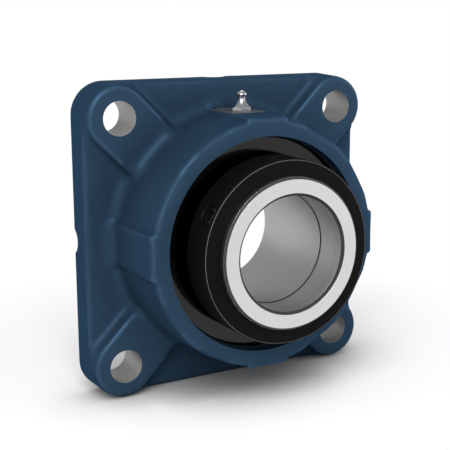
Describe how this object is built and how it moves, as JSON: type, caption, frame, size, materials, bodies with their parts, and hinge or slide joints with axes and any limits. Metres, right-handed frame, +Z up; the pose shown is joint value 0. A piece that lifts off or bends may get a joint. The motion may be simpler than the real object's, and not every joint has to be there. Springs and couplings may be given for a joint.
{
  "type": "flange bearing unit",
  "caption": "Square flange bearing unit: cast housing with corner bolt holes, self-aligning roller bearing, extended inner ring, locking collar with set screws and grease nipple.",
  "frame": {"origin": "on the shaft axis, at the plane of the mounting face, which is also the centre of the bolt pattern there", "axes": "+Y along the shaft into the machine the unit is bolted to; -Y out of the front, where the collar is; +Z up, through the grease nipple; +X to the right as seen from the front"},
  "size_m": [0.1938, 0.097, 0.1938],
  "materials": {
    "casting_paint": "dark blue enamel on sand-cast iron, satin",
    "plated_steel": "bright zinc plating",
    "bright_steel": "polished",
    "spring_steel": "drawn wire",
    "bearing_steel": "ground",
    "phosphated_steel": "phosphated",
    "seal_steel": "dark phosphated sheet",
    "seal_rubber": "matte",
    "cage_steel": "pressed sheet",
    "ground_steel": "ground and polished",
    "black_oxide": "black oxide",
    "black_screw": "black oxide"
  },
  "bodies": {
    "base": {"housing": "casting_paint", "grease_nipple": "plated_steel", "nipple_spring": "spring_steel", "outer_ring": "bearing_steel", "snap_ring": "phosphated_steel", "seal_case_front": "seal_steel", "seal_lip_front": "seal_rubber", "seal_case_rear": "seal_steel", "seal_lip_rear": "seal_rubber"},
    "ball": {"nipple_ball": "bright_steel"},
    "guide": {"guide_ring": "bearing_steel"},
    "garters": {"garter_spring_front": "spring_steel", "garter_spring_rear": "spring_steel"},
    "shaft_ring": {"inner_ring": "ground_steel", "locking_collar": "black_oxide"},
    "cage_front": {"cage_front": "cage_steel"},
    "cage_rear": {"cage_rear": "cage_steel"},
    "screw_a": {"set_screw_a": "black_screw"},
    "screw_b": {"set_screw_b": "black_screw"},
    "roller_front_1": {"roller_front_1": "bright_steel"},
    "roller_front_2": {"roller_front_2": "bright_steel"},
    "roller_front_3": {"roller_front_3": "bright_steel"},
    "roller_front_4": {"roller_front_4": "bright_steel"},
    "roller_front_5": {"roller_front_5": "bright_steel"},
    "roller_front_6": {"roller_front_6": "bright_steel"},
    "roller_front_7": {"roller_front_7": "bright_steel"},
    "roller_front_8": {"roller_front_8": "bright_steel"},
    "roller_front_9": {"roller_front_9": "bright_steel"},
    "roller_front_10": {"roller_front_10": "bright_steel"},
    "roller_front_11": {"roller_front_11": "bright_steel"},
    "roller_front_12": {"roller_front_12": "bright_steel"},
    "roller_front_13": {"roller_front_13": "bright_steel"},
    "roller_front_14": {"roller_front_14": "bright_steel"},
    "roller_front_15": {"roller_front_15": "bright_steel"},
    "roller_front_16": {"roller_front_16": "bright_steel"},
    "roller_front_17": {"roller_front_17": "bright_steel"},
    "roller_front_18": {"roller_front_18": "bright_steel"},
    "roller_rear_1": {"roller_rear_1": "bright_steel"},
    "roller_rear_2": {"roller_rear_2": "bright_steel"},
    "roller_rear_3": {"roller_rear_3": "bright_steel"},
    "roller_rear_4": {"roller_rear_4": "bright_steel"},
    "roller_rear_5": {"roller_rear_5": "bright_steel"},
    "roller_rear_6": {"roller_rear_6": "bright_steel"},
    "roller_rear_7": {"roller_rear_7": "bright_steel"},
    "roller_rear_8": {"roller_rear_8": "bright_steel"},
    "roller_rear_9": {"roller_rear_9": "bright_steel"},
    "roller_rear_10": {"roller_rear_10": "bright_steel"},
    "roller_rear_11": {"roller_rear_11": "bright_steel"},
    "roller_rear_12": {"roller_rear_12": "bright_steel"},
    "roller_rear_13": {"roller_rear_13": "bright_steel"},
    "roller_rear_14": {"roller_rear_14": "bright_steel"},
    "roller_rear_15": {"roller_rear_15": "bright_steel"},
    "roller_rear_16": {"roller_rear_16": "bright_steel"},
    "roller_rear_17": {"roller_rear_17": "bright_steel"},
    "roller_rear_18": {"roller_rear_18": "bright_steel"}
  },
  "joints": [
    {"name": "tilt_x", "type": "hinge", "parent": "base", "child": "garters", "pos_m": [0, -0.0363, 0], "axis": [1, 0, 0], "range_deg": [-1.5, 1.5], "deforming": ["seal_lip_front", "seal_lip_rear"]},
    {"name": "tilt_z", "type": "hinge", "parent": "garters", "child": "guide", "pos_m": [0, -0.0363, 0], "axis": [0, 0, 1], "range_deg": [-1.5, 1.5], "deforming": ["seal_lip_front", "seal_lip_rear"]},
    {"name": "shaft_spin", "type": "hinge", "parent": "guide", "child": "shaft_ring", "pos_m": [0, -0.0363, 0], "axis": [0, 1, 0], "continuous": true},
    {"name": "cage_front_spin", "type": "hinge", "parent": "guide", "child": "cage_front", "pos_m": [0, -0.0363, 0], "axis": [0, 1, 0], "continuous": true},
    {"name": "cage_rear_spin", "type": "hinge", "parent": "guide", "child": "cage_rear", "pos_m": [0, -0.0363, 0], "axis": [0, 1, 0], "continuous": true},
    {"name": "roller_front_1_spin", "type": "hinge", "parent": "cage_front", "child": "roller_front_1", "pos_m": [0.05177, -0.04404, 0], "axis": [0.1479, 0.989, 0], "continuous": true},
    {"name": "roller_front_2_spin", "type": "hinge", "parent": "cage_front", "child": "roller_front_2", "pos_m": [0.04865, -0.04404, 0.01771], "axis": [0.1389, 0.989, 0.0506], "continuous": true},
    {"name": "roller_front_3_spin", "type": "hinge", "parent": "cage_front", "child": "roller_front_3", "pos_m": [0.03966, -0.04404, 0.03328], "axis": [0.1133, 0.989, 0.095], "continuous": true},
    {"name": "roller_front_4_spin", "type": "hinge", "parent": "cage_front", "child": "roller_front_4", "pos_m": [0.02589, -0.04404, 0.04484], "axis": [0.0739, 0.989, 0.128], "continuous": true},
    {"name": "roller_front_5_spin", "type": "hinge", "parent": "cage_front", "child": "roller_front_5", "pos_m": [0.00899, -0.04404, 0.05099], "axis": [0.0257, 0.989, 0.1456], "continuous": true},
    {"name": "roller_front_6_spin", "type": "hinge", "parent": "cage_front", "child": "roller_front_6", "pos_m": [-0.00899, -0.04404, 0.05099], "axis": [-0.0257, 0.989, 0.1456], "continuous": true},
    {"name": "roller_front_7_spin", "type": "hinge", "parent": "cage_front", "child": "roller_front_7", "pos_m": [-0.02589, -0.04404, 0.04484], "axis": [-0.0739, 0.989, 0.128], "continuous": true},
    {"name": "roller_front_8_spin", "type": "hinge", "parent": "cage_front", "child": "roller_front_8", "pos_m": [-0.03966, -0.04404, 0.03328], "axis": [-0.1133, 0.989, 0.095], "continuous": true},
    {"name": "roller_front_9_spin", "type": "hinge", "parent": "cage_front", "child": "roller_front_9", "pos_m": [-0.04865, -0.04404, 0.01771], "axis": [-0.1389, 0.989, 0.0506], "continuous": true},
    {"name": "roller_front_10_spin", "type": "hinge", "parent": "cage_front", "child": "roller_front_10", "pos_m": [-0.05177, -0.04404, 0], "axis": [-0.1479, 0.989, 0], "continuous": true},
    {"name": "roller_front_11_spin", "type": "hinge", "parent": "cage_front", "child": "roller_front_11", "pos_m": [-0.04865, -0.04404, -0.01771], "axis": [-0.1389, 0.989, -0.0506], "continuous": true},
    {"name": "roller_front_12_spin", "type": "hinge", "parent": "cage_front", "child": "roller_front_12", "pos_m": [-0.03966, -0.04404, -0.03328], "axis": [-0.1133, 0.989, -0.095], "continuous": true},
    {"name": "roller_front_13_spin", "type": "hinge", "parent": "cage_front", "child": "roller_front_13", "pos_m": [-0.02589, -0.04404, -0.04484], "axis": [-0.0739, 0.989, -0.128], "continuous": true},
    {"name": "roller_front_14_spin", "type": "hinge", "parent": "cage_front", "child": "roller_front_14", "pos_m": [-0.00899, -0.04404, -0.05099], "axis": [-0.0257, 0.989, -0.1456], "continuous": true},
    {"name": "roller_front_15_spin", "type": "hinge", "parent": "cage_front", "child": "roller_front_15", "pos_m": [0.00899, -0.04404, -0.05099], "axis": [0.0257, 0.989, -0.1456], "continuous": true},
    {"name": "roller_front_16_spin", "type": "hinge", "parent": "cage_front", "child": "roller_front_16", "pos_m": [0.02589, -0.04404, -0.04484], "axis": [0.0739, 0.989, -0.128], "continuous": true},
    {"name": "roller_front_17_spin", "type": "hinge", "parent": "cage_front", "child": "roller_front_17", "pos_m": [0.03966, -0.04404, -0.03328], "axis": [0.1133, 0.989, -0.095], "continuous": true},
    {"name": "roller_front_18_spin", "type": "hinge", "parent": "cage_front", "child": "roller_front_18", "pos_m": [0.04865, -0.04404, -0.01771], "axis": [0.1389, 0.989, -0.0506], "continuous": true},
    {"name": "roller_rear_1_spin", "type": "hinge", "parent": "cage_rear", "child": "roller_rear_1", "pos_m": [0.05099, -0.02856, 0.00899], "axis": [-0.1456, 0.989, -0.0257], "continuous": true},
    {"name": "roller_rear_2_spin", "type": "hinge", "parent": "cage_rear", "child": "roller_rear_2", "pos_m": [0.04484, -0.02856, 0.02589], "axis": [-0.128, 0.989, -0.0739], "continuous": true},
    {"name": "roller_rear_3_spin", "type": "hinge", "parent": "cage_rear", "child": "roller_rear_3", "pos_m": [0.03328, -0.02856, 0.03966], "axis": [-0.095, 0.989, -0.1133], "continuous": true},
    {"name": "roller_rear_4_spin", "type": "hinge", "parent": "cage_rear", "child": "roller_rear_4", "pos_m": [0.01771, -0.02856, 0.04865], "axis": [-0.0506, 0.989, -0.1389], "continuous": true},
    {"name": "roller_rear_5_spin", "type": "hinge", "parent": "cage_rear", "child": "roller_rear_5", "pos_m": [0, -0.02856, 0.05177], "axis": [0, 0.989, -0.1479], "continuous": true},
    {"name": "roller_rear_6_spin", "type": "hinge", "parent": "cage_rear", "child": "roller_rear_6", "pos_m": [-0.01771, -0.02856, 0.04865], "axis": [0.0506, 0.989, -0.1389], "continuous": true},
    {"name": "roller_rear_7_spin", "type": "hinge", "parent": "cage_rear", "child": "roller_rear_7", "pos_m": [-0.03328, -0.02856, 0.03966], "axis": [0.095, 0.989, -0.1133], "continuous": true},
    {"name": "roller_rear_8_spin", "type": "hinge", "parent": "cage_rear", "child": "roller_rear_8", "pos_m": [-0.04484, -0.02856, 0.02589], "axis": [0.128, 0.989, -0.0739], "continuous": true},
    {"name": "roller_rear_9_spin", "type": "hinge", "parent": "cage_rear", "child": "roller_rear_9", "pos_m": [-0.05099, -0.02856, 0.00899], "axis": [0.1456, 0.989, -0.0257], "continuous": true},
    {"name": "roller_rear_10_spin", "type": "hinge", "parent": "cage_rear", "child": "roller_rear_10", "pos_m": [-0.05099, -0.02856, -0.00899], "axis": [0.1456, 0.989, 0.0257], "continuous": true},
    {"name": "roller_rear_11_spin", "type": "hinge", "parent": "cage_rear", "child": "roller_rear_11", "pos_m": [-0.04484, -0.02856, -0.02589], "axis": [0.128, 0.989, 0.0739], "continuous": true},
    {"name": "roller_rear_12_spin", "type": "hinge", "parent": "cage_rear", "child": "roller_rear_12", "pos_m": [-0.03328, -0.02856, -0.03966], "axis": [0.095, 0.989, 0.1133], "continuous": true},
    {"name": "roller_rear_13_spin", "type": "hinge", "parent": "cage_rear", "child": "roller_rear_13", "pos_m": [-0.01771, -0.02856, -0.04865], "axis": [0.0506, 0.989, 0.1389], "continuous": true},
    {"name": "roller_rear_14_spin", "type": "hinge", "parent": "cage_rear", "child": "roller_rear_14", "pos_m": [0, -0.02856, -0.05177], "axis": [0, 0.989, 0.1479], "continuous": true},
    {"name": "roller_rear_15_spin", "type": "hinge", "parent": "cage_rear", "child": "roller_rear_15", "pos_m": [0.01771, -0.02856, -0.04865], "axis": [-0.0506, 0.989, 0.1389], "continuous": true},
    {"name": "roller_rear_16_spin", "type": "hinge", "parent": "cage_rear", "child": "roller_rear_16", "pos_m": [0.03328, -0.02856, -0.03966], "axis": [-0.095, 0.989, 0.1133], "continuous": true},
    {"name": "roller_rear_17_spin", "type": "hinge", "parent": "cage_rear", "child": "roller_rear_17", "pos_m": [0.04484, -0.02856, -0.02589], "axis": [-0.128, 0.989, 0.0739], "continuous": true},
    {"name": "roller_rear_18_spin", "type": "hinge", "parent": "cage_rear", "child": "roller_rear_18", "pos_m": [0.05099, -0.02856, -0.00899], "axis": [-0.1456, 0.989, 0.0257], "continuous": true},
    {"name": "screw_a_slide", "type": "slide", "parent": "shaft_ring", "child": "screw_a", "axis": [-0.8788, 0, 0.4772], "range_m": [-0.0018, 0.0014]},
    {"name": "screw_b_slide", "type": "slide", "parent": "shaft_ring", "child": "screw_b", "axis": [0.0087, 0, 1], "range_m": [-0.0018, 0.0014]},
    {"name": "ball_slide", "type": "slide", "parent": "base", "child": "ball", "axis": [0, 0, -1], "range_m": [0, 0.0008], "stiffness_N_per_m": 40, "springref_m": -0.002, "deforming": ["nipple_spring"]}
  ],
  "couplings": [
    {"joint": "cage_front_spin", "follows": "shaft_spin", "ratio": 0.43314},
    {"joint": "cage_rear_spin", "follows": "shaft_spin", "ratio": 0.43314},
    {"joint": "roller_front_1_spin", "follows": "shaft_spin", "ratio": -3.6321},
    {"joint": "roller_front_2_spin", "follows": "shaft_spin", "ratio": -3.6321},
    {"joint": "roller_front_3_spin", "follows": "shaft_spin", "ratio": -3.6321},
    {"joint": "roller_front_4_spin", "follows": "shaft_spin", "ratio": -3.6321},
    {"joint": "roller_front_5_spin", "follows": "shaft_spin", "ratio": -3.6321},
    {"joint": "roller_front_6_spin", "follows": "shaft_spin", "ratio": -3.6321},
    {"joint": "roller_front_7_spin", "follows": "shaft_spin", "ratio": -3.6321},
    {"joint": "roller_front_8_spin", "follows": "shaft_spin", "ratio": -3.6321},
    {"joint": "roller_front_9_spin", "follows": "shaft_spin", "ratio": -3.6321},
    {"joint": "roller_front_10_spin", "follows": "shaft_spin", "ratio": -3.6321},
    {"joint": "roller_front_11_spin", "follows": "shaft_spin", "ratio": -3.6321},
    {"joint": "roller_front_12_spin", "follows": "shaft_spin", "ratio": -3.6321},
    {"joint": "roller_front_13_spin", "follows": "shaft_spin", "ratio": -3.6321},
    {"joint": "roller_front_14_spin", "follows": "shaft_spin", "ratio": -3.6321},
    {"joint": "roller_front_15_spin", "follows": "shaft_spin", "ratio": -3.6321},
    {"joint": "roller_front_16_spin", "follows": "shaft_spin", "ratio": -3.6321},
    {"joint": "roller_front_17_spin", "follows": "shaft_spin", "ratio": -3.6321},
    {"joint": "roller_front_18_spin", "follows": "shaft_spin", "ratio": -3.6321},
    {"joint": "roller_rear_1_spin", "follows": "shaft_spin", "ratio": -3.6321},
    {"joint": "roller_rear_2_spin", "follows": "shaft_spin", "ratio": -3.6321},
    {"joint": "roller_rear_3_spin", "follows": "shaft_spin", "ratio": -3.6321},
    {"joint": "roller_rear_4_spin", "follows": "shaft_spin", "ratio": -3.6321},
    {"joint": "roller_rear_5_spin", "follows": "shaft_spin", "ratio": -3.6321},
    {"joint": "roller_rear_6_spin", "follows": "shaft_spin", "ratio": -3.6321},
    {"joint": "roller_rear_7_spin", "follows": "shaft_spin", "ratio": -3.6321},
    {"joint": "roller_rear_8_spin", "follows": "shaft_spin", "ratio": -3.6321},
    {"joint": "roller_rear_9_spin", "follows": "shaft_spin", "ratio": -3.6321},
    {"joint": "roller_rear_10_spin", "follows": "shaft_spin", "ratio": -3.6321},
    {"joint": "roller_rear_11_spin", "follows": "shaft_spin", "ratio": -3.6321},
    {"joint": "roller_rear_12_spin", "follows": "shaft_spin", "ratio": -3.6321},
    {"joint": "roller_rear_13_spin", "follows": "shaft_spin", "ratio": -3.6321},
    {"joint": "roller_rear_14_spin", "follows": "shaft_spin", "ratio": -3.6321},
    {"joint": "roller_rear_15_spin", "follows": "shaft_spin", "ratio": -3.6321},
    {"joint": "roller_rear_16_spin", "follows": "shaft_spin", "ratio": -3.6321},
    {"joint": "roller_rear_17_spin", "follows": "shaft_spin", "ratio": -3.6321},
    {"joint": "roller_rear_18_spin", "follows": "shaft_spin", "ratio": -3.6321}
  ]
}
